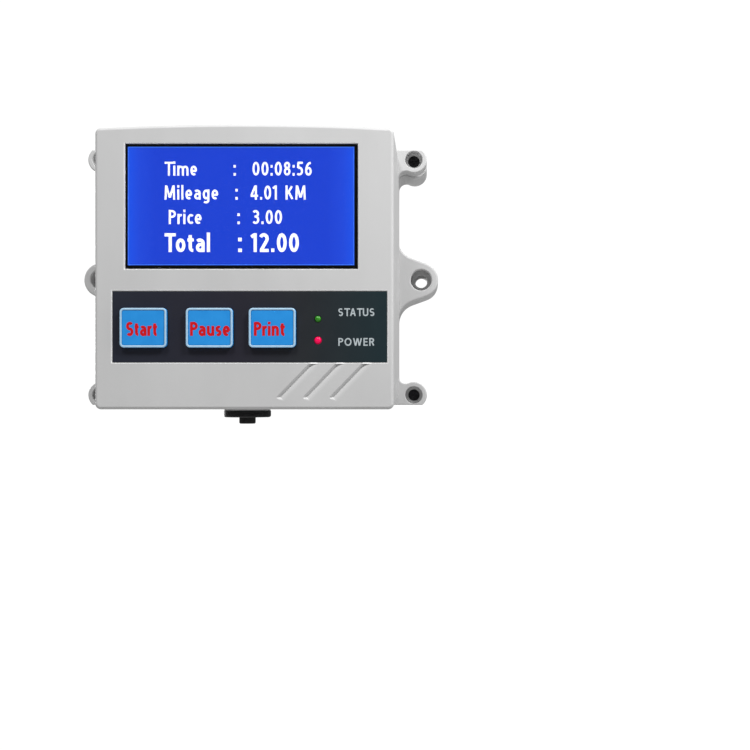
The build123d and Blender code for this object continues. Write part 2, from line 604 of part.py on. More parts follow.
for lamp_name, (lamp_z, lamp_radius) in LAMPS.items():
    with BuildPart() as lamp:
        with BuildSketch(level(LAMP_FLANGE_FRONT)):
            with Locations((LAMP_X, lamp_z)):
                Circle(lamp_radius)
        extrude(amount=LAMP_FRONT - LAMP_FLANGE_FRONT)
        fillet(faces().sort_by(Axis.Y)[0].edges(), 0.8 * lamp_radius)
        with BuildSketch(level(LAMP_FLANGE_BACK)):
            with Locations((LAMP_X, lamp_z)):
                Circle(lamp_radius + 0.4)
        extrude(amount=LAMP_FLANGE_FRONT - LAMP_FLANGE_BACK)
        with BuildSketch(level(KEY_BOARD_BACK - 0.8)):
            with Locations((LAMP_X, lamp_z)):
                with GridLocations(2 * LAMP_LEG_SPREAD, 0, 2, 1):
                    Circle(LAMP_LEG_RADIUS)
        extrude(amount=LAMP_FLANGE_BACK - KEY_BOARD_BACK + 0.8)
    save(lamp, f"{lamp_name}_lamp")

# ---------------------------------------------------------------- main board

main_board = bare_board(0, MAIN_BOARD_Z, MAIN_BOARD_WIDTH, MAIN_BOARD_HEIGHT, MAIN_BOARD_BACK, MAIN_POSTS)
save(main_board, "main_board")

main_board_screws = screws(
    MAIN_POSTS,
    MAIN_BOARD_FRONT,
    True,
    BOARD_SCREW_HEAD_RADIUS,
    BOARD_SCREW_HEAD_HEIGHT,
    MAIN_SCREW_REACH,
)
save(main_board_screws, "main_board_screws")

with BuildPart() as microcontroller:
    with BuildSketch(level(MAIN_BOARD_FRONT + 0.2)):
        with Locations(CONTROLLER_AT):
            Rectangle(CONTROLLER_SIDE, CONTROLLER_SIDE)
    extrude(amount=CONTROLLER_HEIGHT)
    chamfer(faces().sort_by(Axis.Y)[0].edges(), 0.3)
    with BuildSketch(level(MAIN_BOARD_FRONT)):
        with Locations(CONTROLLER_AT):
            with GridLocations(CONTROLLER_PITCH, 0, CONTROLLER_PINS, 1):
                Rectangle(0.4, CONTROLLER_SIDE + 2)
            with GridLocations(0, CONTROLLER_PITCH, 1, CONTROLLER_PINS):
                Rectangle(CONTROLLER_SIDE + 2, 0.4)
    extrude(amount=0.4)
save(microcontroller, "microcontroller")

with BuildPart() as radio_module:
    with BuildSketch(level(MAIN_BOARD_FRONT)):
        with Locations(RADIO_AT):
            Rectangle(16, 22)
    extrude(amount=0.8)
    with BuildSketch(level(MAIN_BOARD_FRONT + 0.8)):
        with Locations((RADIO_AT[0], RADIO_AT[1] - 2)):
            RectangleRounded(14, 15, 0.6)
    extrude(amount=2)
save(radio_module, "radio_module")

with BuildPart() as clock_crystal:
    with BuildSketch(level(MAIN_BOARD_FRONT)):
        with Locations(CRYSTAL_AT):
            SlotOverall(11, 4.6)
    extrude(amount=0.6)
    with BuildSketch(level(MAIN_BOARD_FRONT + 0.6)):
        with Locations(CRYSTAL_AT):
            SlotOverall(10.2, 3.8)
    extrude(amount=2.9)
save(clock_crystal, "clock_crystal")

with BuildPart() as cell_holder:
    with BuildSketch(level(MAIN_BOARD_FRONT)):
        with Locations(CELL_AT):
            Circle(CELL_RADIUS + 1.5)
            Rectangle(2 * CELL_RADIUS + 8, 7)
    extrude(amount=CELL_HEIGHT + 1)
    with BuildSketch(level(MAIN_BOARD_FRONT + 1)):
        with Locations(CELL_AT):
            Circle(CELL_RADIUS + FIT_GAP)
    extrude(amount=CELL_HEIGHT, mode=Mode.SUBTRACT)
save(cell_holder, "cell_holder")

with BuildPart() as backup_cell:
    with BuildSketch(level(MAIN_BOARD_FRONT + 1)):
        with Locations(CELL_AT):
            Circle(CELL_RADIUS)
    extrude(amount=CELL_HEIGHT)
    chamfer(faces().sort_by(Axis.Y)[0].edges(), 0.3)
save(backup_cell, "backup_cell")

with BuildPart() as buzzer:
    with BuildSketch(level(MAIN_BOARD_FRONT)):
        with Locations(BUZZER_AT):
            Circle(6)
    extrude(amount=8)
    with Locations(spot(*BUZZER_AT, MAIN_BOARD_FRONT + 8)):
        Hole(1, 4)
save(buzzer, "buzzer")

with BuildPart() as voltage_regulator:
    with BuildSketch(level(MAIN_BOARD_FRONT)):
        with Locations(REGULATOR_AT):
            Rectangle(6.6, 6.2)
    extrude(amount=2.3)
    with BuildSketch(level(MAIN_BOARD_FRONT)):
        with Locations((REGULATOR_AT[0], REGULATOR_AT[1] + 3.6)):
            Rectangle(5.4, 2.4)
        with Locations((REGULATOR_AT[0], REGULATOR_AT[1] - 4)):
            with GridLocations(4.6, 0, 2, 1):
                Rectangle(0.8, 3)
    extrude(amount=0.5)
save(voltage_regulator, "voltage_regulator")

with BuildPart() as filter_capacitors:
    with BuildSketch(level(MAIN_BOARD_FRONT)):
        with Locations(*CAPACITORS_AT):
            Circle(4)
    extrude(amount=10)
    fillet(faces().group_by(Axis.Y)[0].edges(), 0.5)
save(filter_capacitors, "filter_capacitors")

with BuildPart() as fuse:
    with BuildSketch(level(MAIN_BOARD_FRONT)):
        with Locations(FUSE_AT):
            Rectangle(7.4, 3.2)
    extrude(amount=2.8)
save(fuse, "fuse")

with BuildPart() as terminal_block:
    with BuildSketch(level(MAIN_BOARD_FRONT)):
        with Locations(TERMINALS_AT):
            Rectangle(TERMINAL_WAYS * TERMINAL_PITCH, 8)
    extrude(amount=TERMINAL_HEIGHT)
    with BuildSketch(level(MAIN_BOARD_FRONT + TERMINAL_HEIGHT)):
        with Locations(TERMINALS_AT):
            with GridLocations(TERMINAL_PITCH, 0, TERMINAL_WAYS, 1):
                Circle(1.6)
    extrude(amount=-4, mode=Mode.SUBTRACT)
    with BuildSketch(Plane.XY.offset(TERMINALS_AT[1] - 4)):
        with Locations((TERMINALS_AT[0], -MAIN_BOARD_FRONT - 3)):
            with GridLocations(TERMINAL_PITCH, 0, TERMINAL_WAYS, 1):
                Rectangle(2.6, 2.8)
    extrude(amount=5, mode=Mode.SUBTRACT)
save(terminal_block, "terminal_block")

with BuildPart() as terminal_screws:
    with BuildSketch(level(MAIN_BOARD_FRONT + TERMINAL_HEIGHT - 4)):
        with Locations(TERMINALS_AT):
            with GridLocations(TERMINAL_PITCH, 0, TERMINAL_WAYS, 1):
                Circle(1.5)
    extrude(amount=3)
    with BuildSketch(level(MAIN_BOARD_FRONT + TERMINAL_HEIGHT - 1)):
        with Locations(TERMINALS_AT):
            with GridLocations(TERMINAL_PITCH, 0, TERMINAL_WAYS, 1):
                Rectangle(3.2, 0.6)
    extrude(amount=-0.7, mode=Mode.SUBTRACT)
save(terminal_screws, "terminal_screws")

with BuildPart() as ribbon_headers:
    for at, foot in (
        (DISPLAY_HEADER_AT, MAIN_BOARD_FRONT),
        (KEY_HEADER_AT, MAIN_BOARD_FRONT),
        ((DISPLAY_HEADER_AT[0], DISPLAY_SOCKET_Z), DISPLAY_BOARD_BACK - HEADER_HEIGHT),
        ((KEY_HEADER_AT[0], KEY_SOCKET_Z), KEY_BOARD_BACK - HEADER_HEIGHT),
    ):
        with BuildSketch(level(foot)):
            with Locations(at):
                Rectangle(RIBBON_WIDTH + 3, HEADER_DEPTH)
        extrude(amount=HEADER_HEIGHT)
save(ribbon_headers, "ribbon_headers")

HEADER_TOP = MAIN_BOARD_FRONT + HEADER_HEIGHT
display_ribbon = ribbon(
    DISPLAY_HEADER_AT[0],
    RIBBON_WIDTH,
    [
        (HEADER_TOP, DISPLAY_HEADER_AT[1]),
        (HEADER_TOP + 5, DISPLAY_HEADER_AT[1]),
        (DISPLAY_BOARD_BACK - HEADER_HEIGHT - 6, DISPLAY_SOCKET_Z),
        (DISPLAY_BOARD_BACK - HEADER_HEIGHT, DISPLAY_SOCKET_Z),
    ],
)
save(display_ribbon, "display_ribbon")

key_ribbon = ribbon(
    KEY_HEADER_AT[0],
    RIBBON_WIDTH,
    [
        (HEADER_TOP, KEY_HEADER_AT[1]),
        (HEADER_TOP + 4, KEY_HEADER_AT[1]),
        (KEY_BOARD_BACK - HEADER_HEIGHT - 5, KEY_SOCKET_Z),
        (KEY_BOARD_BACK - HEADER_HEIGHT, KEY_SOCKET_Z),
    ],
)
save(key_ribbon, "key_ribbon")

# ---------------------------------------------------------------- cable gland

with BuildPart() as gland_washer:
    with BuildSketch(above(GLAND_WASHER_Z)):
        Circle(GLAND_WASHER_RADIUS)
        Circle(GLAND_SHANK_RADIUS, mode=Mode.SUBTRACT)
    extrude(amount=GLAND_PAD_Z - GLAND_WASHER_Z)
save(gland_washer, "gland_washer")

with BuildPart() as gland_body:
    with BuildSketch(above(GLAND_FLANGE_Z)):
        Circle(GLAND_FLANGE_RADIUS)
    extrude(amount=GLAND_WASHER_Z - GLAND_FLANGE_Z)
    fillet(faces().sort_by(Axis.Z)[0].edges(), 0.7)
    with BuildSketch(above(GLAND_WASHER_Z)):
        Circle(GLAND_SHANK_RADIUS)
    extrude(amount=GLAND_SHANK_TOP - GLAND_WASHER_Z)
    with BuildSketch(above(GLAND_FLANGE_Z)):
        Circle(SLEEVE_RADIUS)
    extrude(amount=GLAND_SHANK_TOP - GLAND_FLANGE_Z, mode=Mode.SUBTRACT)
save(gland_body, "gland_body")

with BuildPart() as gland_locknut:
    with BuildSketch(above(SEAM_BOTTOM + WALL)):
        RegularPolygon(LOCKNUT_ACROSS_FLATS / 2, 6, major_radius=False)
        Circle(GLAND_SHANK_RADIUS, mode=Mode.SUBTRACT)
    extrude(amount=LOCKNUT_HEIGHT)
save(gland_locknut, "gland_locknut")

with BuildPart() as cable_sleeve:
    with BuildSketch(above(SLEEVE_FOOT_Z)):
        Circle(SLEEVE_RADIUS)
        Circle(SLEEVE_BORE_RADIUS, mode=Mode.SUBTRACT)
    extrude(amount=SLEEVE_TOP_Z - SLEEVE_FOOT_Z)
    chamfer(faces().sort_by(Axis.Z)[0].edges(), 0.3)
save(cable_sleeve, "cable_sleeve")
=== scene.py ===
"""The looks of the wall-mounted taxi meter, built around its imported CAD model.

Lengths given in millimetres are turned into metres with MM. Heights are measured from the mounting
face towards the driver, so a height h lies at y = -h. Places are worked out from the CAD nodes' boxes.
"""

import json
import math

import bpy
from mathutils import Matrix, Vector


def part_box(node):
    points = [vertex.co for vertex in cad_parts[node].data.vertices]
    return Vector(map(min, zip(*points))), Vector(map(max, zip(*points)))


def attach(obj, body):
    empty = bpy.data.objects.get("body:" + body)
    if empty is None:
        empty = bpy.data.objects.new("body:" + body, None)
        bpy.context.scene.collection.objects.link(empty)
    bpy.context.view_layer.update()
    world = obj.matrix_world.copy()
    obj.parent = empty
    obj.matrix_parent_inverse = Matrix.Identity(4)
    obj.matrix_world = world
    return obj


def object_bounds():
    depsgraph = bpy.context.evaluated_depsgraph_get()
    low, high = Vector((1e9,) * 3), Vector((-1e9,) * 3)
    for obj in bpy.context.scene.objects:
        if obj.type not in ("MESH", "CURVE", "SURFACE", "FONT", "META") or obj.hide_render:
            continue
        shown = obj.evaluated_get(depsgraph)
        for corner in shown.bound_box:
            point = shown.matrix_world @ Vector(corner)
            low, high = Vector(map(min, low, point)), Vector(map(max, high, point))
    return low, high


MM = 0.001

# Camera: 300 mm in front of the case, right of centre and near the bottom edge, looking straight back
CAMERA_AT = (54.07 * MM, -344 * MM, -38.4 * MM)
CAMERA_LENS = 49.5
CAMERA_SHIFT = (-0.0733, 0.0333)

FLOOR_DROP = 450 * MM

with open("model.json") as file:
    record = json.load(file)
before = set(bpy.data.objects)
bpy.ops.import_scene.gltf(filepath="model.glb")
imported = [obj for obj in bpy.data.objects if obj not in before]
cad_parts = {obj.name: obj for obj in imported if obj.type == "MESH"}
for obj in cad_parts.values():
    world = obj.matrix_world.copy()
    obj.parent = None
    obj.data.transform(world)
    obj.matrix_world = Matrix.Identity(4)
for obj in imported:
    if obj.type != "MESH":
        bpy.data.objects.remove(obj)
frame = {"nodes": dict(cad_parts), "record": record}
cad_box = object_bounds()
scene = bpy.context.scene


# ---------------------------------------------------------------- materials


def grey(value):
    return (value, value, value)


def linear(red, green, blue):
    """A display colour, each channel 0 to 255, as the linear colour that shaders use."""
    channels = [c / 255 for c in (red, green, blue)]
    return tuple(c / 12.92 if c <= 0.04045 else ((c + 0.055) / 1.055) ** 2.4 for c in channels)


class Finish:
    """A procedural material under construction: one Principled shader with helpers for its inputs."""

    def __init__(self, name, colour, roughness, metallic=0.0, specular=0.5):
        self.material = bpy.data.materials.new(name)
        self.material.use_nodes = True
        self.nodes = self.material.node_tree.nodes
        self.links = self.material.node_tree.links
        self.shader = self.nodes["Principled BSDF"]
        self.set("Base Color", (*colour, 1))
        self.set("Roughness", roughness)
        self.set("Metallic", metallic)
        self.set("Specular IOR Level", specular)
        self.place = self.nodes.new("ShaderNodeTexCoord").outputs["Object"]
        self.bump = None

    def set(self, socket, value):
        self.shader.inputs[socket].default_value = value

    def noise(self, size, detail=3.0, stretch=(1, 1, 1)):
        """Noise whose features are about size metres across, from 0 to 1."""
        mapping = self.nodes.new("ShaderNodeMapping")
        mapping.inputs["Scale"].default_value = stretch
        self.links.new(self.place, mapping.inputs["Vector"])
        texture = self.nodes.new("ShaderNodeTexNoise")
        texture.inputs["Scale"].default_value = 1 / size
        texture.inputs["Detail"].default_value = detail
        self.links.new(mapping.outputs["Vector"], texture.inputs["Vector"])
        return texture.outputs["Fac"]

    def ramp(self, source, stops):
        """Maps a value to colours; stops are (position, colour) pairs."""
        node = self.nodes.new("ShaderNodeValToRGB")
        elements = node.color_ramp.elements
        while len(elements) < len(stops):
            elements.new(0.5)
        for element, (position, colour) in zip(elements, stops):
            element.position = position
            element.color = (*colour, 1)
        self.links.new(source, node.inputs["Fac"])
        return node.outputs["Color"]

    def tint(self, size, low, high, stretch=(1, 1, 1)):
        """Base colour that drifts between two colours over patches of a given size."""
        colour = self.ramp(self.noise(size, stretch=stretch), [(0.35, low), (0.65, high)])
        self.links.new(colour, self.shader.inputs["Base Color"])

    def uneven_gloss(self, size, low, high):
        value = self.ramp(self.noise(size), [(0.35, grey(low)), (0.65, grey(high))])
        self.links.new(value, self.shader.inputs["Roughness"])

    def grain(self, size, height):
        """Fine relief of a given grain size and height, laid over any earlier relief."""
        node = self.nodes.new("ShaderNodeBump")
        node.inputs["Strength"].default_value = 1.0
        node.inputs["Distance"].default_value = height
        self.links.new(self.noise(size, detail=2.0), node.inputs["Height"])
        if self.bump:
            self.links.new(self.bump, node.inputs["Normal"])
        self.bump = node.outputs["Normal"]
        self.links.new(self.bump, self.shader.inputs["Normal"])

    def across(self, node, stops, socket):
        """Colours a socket from a CAD node's left side to its right."""
        low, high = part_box(node)
        split = self.nodes.new("ShaderNodeSeparateXYZ")
        self.links.new(self.place, split.inputs["Vector"])
        span = self.nodes.new("ShaderNodeMapRange")
        span.inputs["From Min"].default_value = low[0]
        span.inputs["From Max"].default_value = high[0]
        self.links.new(split.outputs["X"], span.inputs["Value"])
        self.links.new(self.ramp(span.outputs["Result"], stops), self.shader.inputs[socket])

    def glow(self, colour, strength):
        self.set("Emission Color", (*colour, 1))
        self.set("Emission Strength", strength)


def case_plastic():
    finish = Finish("case_plastic", grey(0.55), 0.48, specular=0.35)
    finish.tint(18 * MM, grey(0.54), grey(0.57), stretch=(1, 1, 0.4))
    finish.uneven_gloss(6 * MM, 0.44, 0.52)
    finish.grain(0.25 * MM, 0.006 * MM)
    finish.grain(9 * MM, 0.01 * MM)
    return finish.material


def black_plastic():
    finish = Finish("black_plastic", linear(8, 8, 9), 0.5, specular=0.2)
    finish.tint(2 * MM, linear(6, 6, 7), linear(12, 12, 13))
    finish.grain(0.2 * MM, 0.01 * MM)
    return finish.material


def gland_black():
    finish = Finish("gland_black", linear(12, 12, 13), 0.5, specular=0.25)
    finish.tint(3 * MM, linear(9, 9, 10), linear(18, 18, 19))
    finish.grain(0.3 * MM, 0.015 * MM)
    return finish.material


def seal_rubber():
    finish = Finish("seal_rubber", linear(24, 24, 24), 0.75)
    finish.tint(1 * MM, linear(18, 18, 18), linear(32, 32, 31))
    finish.grain(0.15 * MM, 0.02 * MM)
    return finish.material


def washer_grey():
    finish = Finish("washer_grey", grey(0.42), 0.7)
    finish.tint(2 * MM, grey(0.38), grey(0.46))
    finish.grain(0.2 * MM, 0.015 * MM)
    return finish.material


def fascia_film():
    """Dark grey film that drifts from a blue-violet cast on the left to a green-blue one on the right."""
    finish = Finish("fascia_film", linear(38, 42, 48), 0.45, specular=0.2)
    casts = [
        (0.0, linear(36, 39, 50)),
        (0.45, linear(38, 37, 47)),
        (0.7, linear(37, 40, 44)),
        (1.0, linear(26, 43, 48)),
    ]
    finish.across("fascia_panel", casts, "Base Color")
    finish.uneven_gloss(5 * MM, 0.4, 0.5)
    finish.grain(0.18 * MM, 0.006 * MM)
    return finish.material


def key_blue():
    finish = Finish("key_blue", linear(38, 138, 212), 0.4, specular=0.2)
    finish.tint(4 * MM, linear(38, 140, 218), linear(44, 147, 224))
    finish.grain(0.3 * MM, 0.006 * MM)
    return finish.material


def rim_blue():
    finish = Finish("rim_blue", linear(168, 204, 230), 0.3)
    finish.tint(1.5 * MM, linear(162, 199, 227), linear(174, 209, 233))
    finish.grain(0.3 * MM, 0.002 * MM)
    return finish.material


def legend_red():
    finish = Finish("legend_red", linear(205, 10, 18), 0.55, specular=0.2)
    finish.tint(0.8 * MM, linear(196, 6, 14), linear(212, 14, 22))
    finish.grain(0.1 * MM, 0.004 * MM)
    return finish.material


def label_grey():
    finish = Finish("label_grey", linear(176, 186, 190), 0.5, specular=0.2)
    finish.tint(0.6 * MM, linear(168, 178, 182), linear(184, 193, 197))
    finish.grain(0.1 * MM, 0.004 * MM)
    return finish.material


def outline_print_and_painted_glow():
    finish = Finish("outline_print_and_painted_glow", grey(0.8), 0.45)
    finish.tint(2 * MM, grey(0.76), grey(0.84))
    finish.grain(0.2 * MM, 0.004 * MM)
    # Painted highlight: the printed white line is made to glow, so it stays brighter than the lamps alone
    # would make it.
    finish.glow(grey(1), 0.38)
    return finish.material


def display_blue():
    """Lit blue glass, a little brighter close to its left and right edges."""
    finish = Finish("display_blue", linear(8, 18, 70), 0.3, specular=0.1)
    edge, near, middle = linear(20, 84, 238), linear(24, 72, 222), linear(18, 64, 213)
    stops = [(0.0, edge), (0.05, near), (0.12, middle), (0.88, middle), (0.95, near), (1.0, edge)]
    finish.across("lcd_glass", stops, "Emission Color")
    finish.set("Emission Strength", 0.95)
    finish.grain(0.3 * MM, 0.002 * MM)
    return finish.material


def edge_blue():
    """The paler light that shows along the edges of the lit glass."""
    finish = Finish("edge_blue", linear(40, 90, 200), 0.4, specular=0.1)
    finish.tint(1 * MM, linear(36, 84, 192), linear(46, 96, 208))
    finish.glow(linear(58, 116, 240), 0.65)
    return finish.material


# Painted shade: the darker blue of the thin line just inside each key's raised rim, where the bead's shade
# falls.
def rim_painted_shade():
    finish = Finish("rim_painted_shade", linear(22, 96, 156), 0.5, specular=0.2)
    finish.tint(0.6 * MM, linear(18, 90, 148), linear(28, 104, 166))
    finish.grain(0.2 * MM, 0.002 * MM)
    return finish.material


def readout_white():
    finish = Finish("readout_white", grey(0.8), 0.5)
    finish.tint(0.5 * MM, grey(0.76), grey(0.84))
    finish.glow((1, 1, 1), 0.75)
    return finish.material


def clear_lens():
    finish = Finish("clear_lens", (0.97, 0.98, 1.0), 0.03, specular=0.1)
    finish.set("Transmission Weight", 1.0)
    finish.set("IOR", 1.3)
    finish.grain(3 * MM, 0.002 * MM)
    return finish.material


def lamp_green():
    finish = Finish("lamp_green", linear(36, 124, 20), 0.3)
    finish.tint(0.4 * MM, linear(28, 100, 14), linear(56, 150, 30))
    finish.glow(linear(60, 150, 24), 0.08)
    return finish.material


def lamp_red():
    finish = Finish("lamp_red", linear(225, 6, 74), 0.3, specular=0.25)
    finish.tint(0.5 * MM, linear(212, 4, 66), linear(234, 12, 86))
    finish.glow(linear(255, 6, 90), 0.3)
    return finish.material


def metal(name, colour, roughness):
    finish = Finish(name, colour, roughness, metallic=1.0)
    darker = tuple(0.85 * c for c in colour)
    finish.tint(1.5 * MM, darker, colour)
    finish.grain(0.3 * MM, 0.006 * MM)
    return finish.material


def black_steel():
    finish = Finish("black_steel", linear(30, 30, 32), 0.35, metallic=0.6)
    finish.tint(1 * MM, linear(20, 20, 22), linear(42, 42, 45))
    finish.grain(0.2 * MM, 0.008 * MM)
    return finish.material


def board_green():
    finish = Finish("board_green", linear(18, 92, 52), 0.35)
    finish.tint(3 * MM, linear(12, 78, 44), linear(24, 104, 60))
    finish.grain(0.8 * MM, 0.02 * MM)
    return finish.material


def moulded(name, low, high, roughness):
    finish = Finish(name, high, roughness)
    finish.tint(2 * MM, low, high)
    finish.grain(0.25 * MM, 0.01 * MM)
    return finish.material


MATERIALS = {
    "case_plastic": case_plastic(),
    "seal_rubber": seal_rubber(),
    "black_steel": black_steel(),
    "insert_brass": metal("insert_brass", linear(205, 165, 90), 0.3),
    "black_plastic": black_plastic(),
    "clear_lens": clear_lens(),
    "display_blue": display_blue(),
    "backlight_white": moulded("backlight_white", linear(222, 228, 232), linear(236, 240, 243), 0.4),
    "board_green": board_green(),
    "zinc_steel": metal("zinc_steel", linear(196, 198, 200), 0.28),
    "fascia_film": fascia_film(),
    "key_blue": key_blue(),
    "lamp_green": lamp_green(),
    "lamp_red": lamp_red(),
    "chip_black": moulded("chip_black", linear(22, 22, 24), linear(34, 34, 36), 0.55),
    "shield_metal": metal("shield_metal", linear(205, 206, 206), 0.3),
    "capacitor_sleeve": moulded("capacitor_sleeve", linear(22, 26, 62), linear(32, 38, 84), 0.3),
    "terminal_green": moulded("terminal_green", linear(52, 128, 74), linear(66, 148, 88), 0.45),
    "ribbon_grey": moulded("ribbon_grey", linear(172, 174, 177), linear(190, 192, 195), 0.5),
    "washer_grey": washer_grey(),
    "gland_black": gland_black(),
}

for part in frame["record"]["subparts"]:
    node = frame["nodes"][part["node"]]
    node.data.materials.clear()
    node.data.materials.append(MATERIALS[part["material_slot"]])


# ---------------------------------------------------------------- printed and raised trim


def show(mesh, name, material, body):
    """Puts a mesh in the scene as a piece that rides on a body."""
    piece = bpy.data.objects.new(name, mesh)
    scene.collection.objects.link(piece)
    mesh.materials.clear()
    mesh.materials.append(material)
    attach(piece, body)
    return piece


def rounded_path(width, height, corner, steps=8):
    """Points round a rounded rectangle with their outward offsets, anticlockwise from the lower right."""
    path = []
    for quarter, (right, up) in enumerate(((1, -1), (1, 1), (-1, 1), (-1, -1))):
        centre = Vector((right * (width / 2 - corner), up * (height / 2 - corner)))
        if corner == 0:
            path.append((centre, Vector((right, up))))
            continue
        for step in range(steps + 1):
            angle = math.radians(90 * (quarter - 1) + 90 * step / steps)
            outward = Vector((math.cos(angle), math.sin(angle)))
            path.append((centre + corner * outward, outward))
    return path


def frame_strip(name, centre, path, section, material, body):
    """A closed strip: section points (outset, height) are swept round a path about centre (x, z)."""
    vertices = []
    for point, outward in path:
        for outset, height in section:
            x = centre[0] + point.x + outset * outward.x
            z = centre[1] + point.y + outset * outward.y
            vertices.append((x, -height, z))
    count, ring = len(path), len(section)
    faces = []
    for i in range(count):
        for j in range(ring):
            a = i * ring + j
            b = i * ring + (j + 1) % ring
            c = (i + 1) % count * ring + (j + 1) % ring
            d = (i + 1) % count * ring + j
            faces.append((a, b, c, d))
    mesh = bpy.data.meshes.new(name)
    mesh.from_pydata(vertices, [], faces)
    mesh.validate()
    piece = show(mesh, name, material, body)
    mesh.shade_smooth()
    mesh.set_sharp_from_angle(angle=math.radians(40))
    return piece


# Letters are drawn as strokes of even thickness. Sizes are parts of the capital height, and HALF is
# half a stroke, so that a stroke's middle line keeps HALF away from the letter's outer edge.
HALF, LOWER, LETTER_GAP, STROKE_STEP = 0.085, 0.72, 0.12, 0.001 * MM


def curve(x, z, across, up, start, end):
    """Part of an ellipse round (x, z) from one angle to another, in degrees."""
    steps = max(4, round(abs(end - start) / 18))
    angles = [math.radians(start + (end - start) * i / steps) for i in range(steps + 1)]
    return [(x + across * math.cos(a), z + up * math.sin(a)) for a in angles]


def oval(width, bottom, top):
    return curve(width / 2, (bottom + top) / 2, width / 2 - HALF, (top - bottom) / 2 - HALF, 0, 360)


def stem(x, top, bottom=0.0):
    return [(x, bottom), (x, top)]


def bar(z, left, right):
    return [(left, z), (right, z)]


def arch(left, right):
    """The arch of n and m: up from the left stem, over and down to the baseline."""
    over = curve((left + right) / 2, LOWER - HALF - 0.18, (right - left) / 2, 0.18, 170, 0)
    return over + [(right, 0)]


def double_bend(width, height):
    """The middle line of S and s."""
    bend, across = (height - 2 * HALF) / 4, width / 2 - HALF
    upper = curve(width / 2, height - HALF - bend, across, bend, 35, 270)
    return upper + curve(width / 2, HALF + bend, across, bend, 90, -145)[1:]


def upper_bowl(width):
    """The bowl of P and R."""
    bend = 0.20
    turn = curve(width - HALF - bend, 1 - HALF - bend, bend, bend, 90, -90)
    return [(HALF, 1 - HALF)] + turn + [(HALF, 1 - HALF - 2 * bend)]


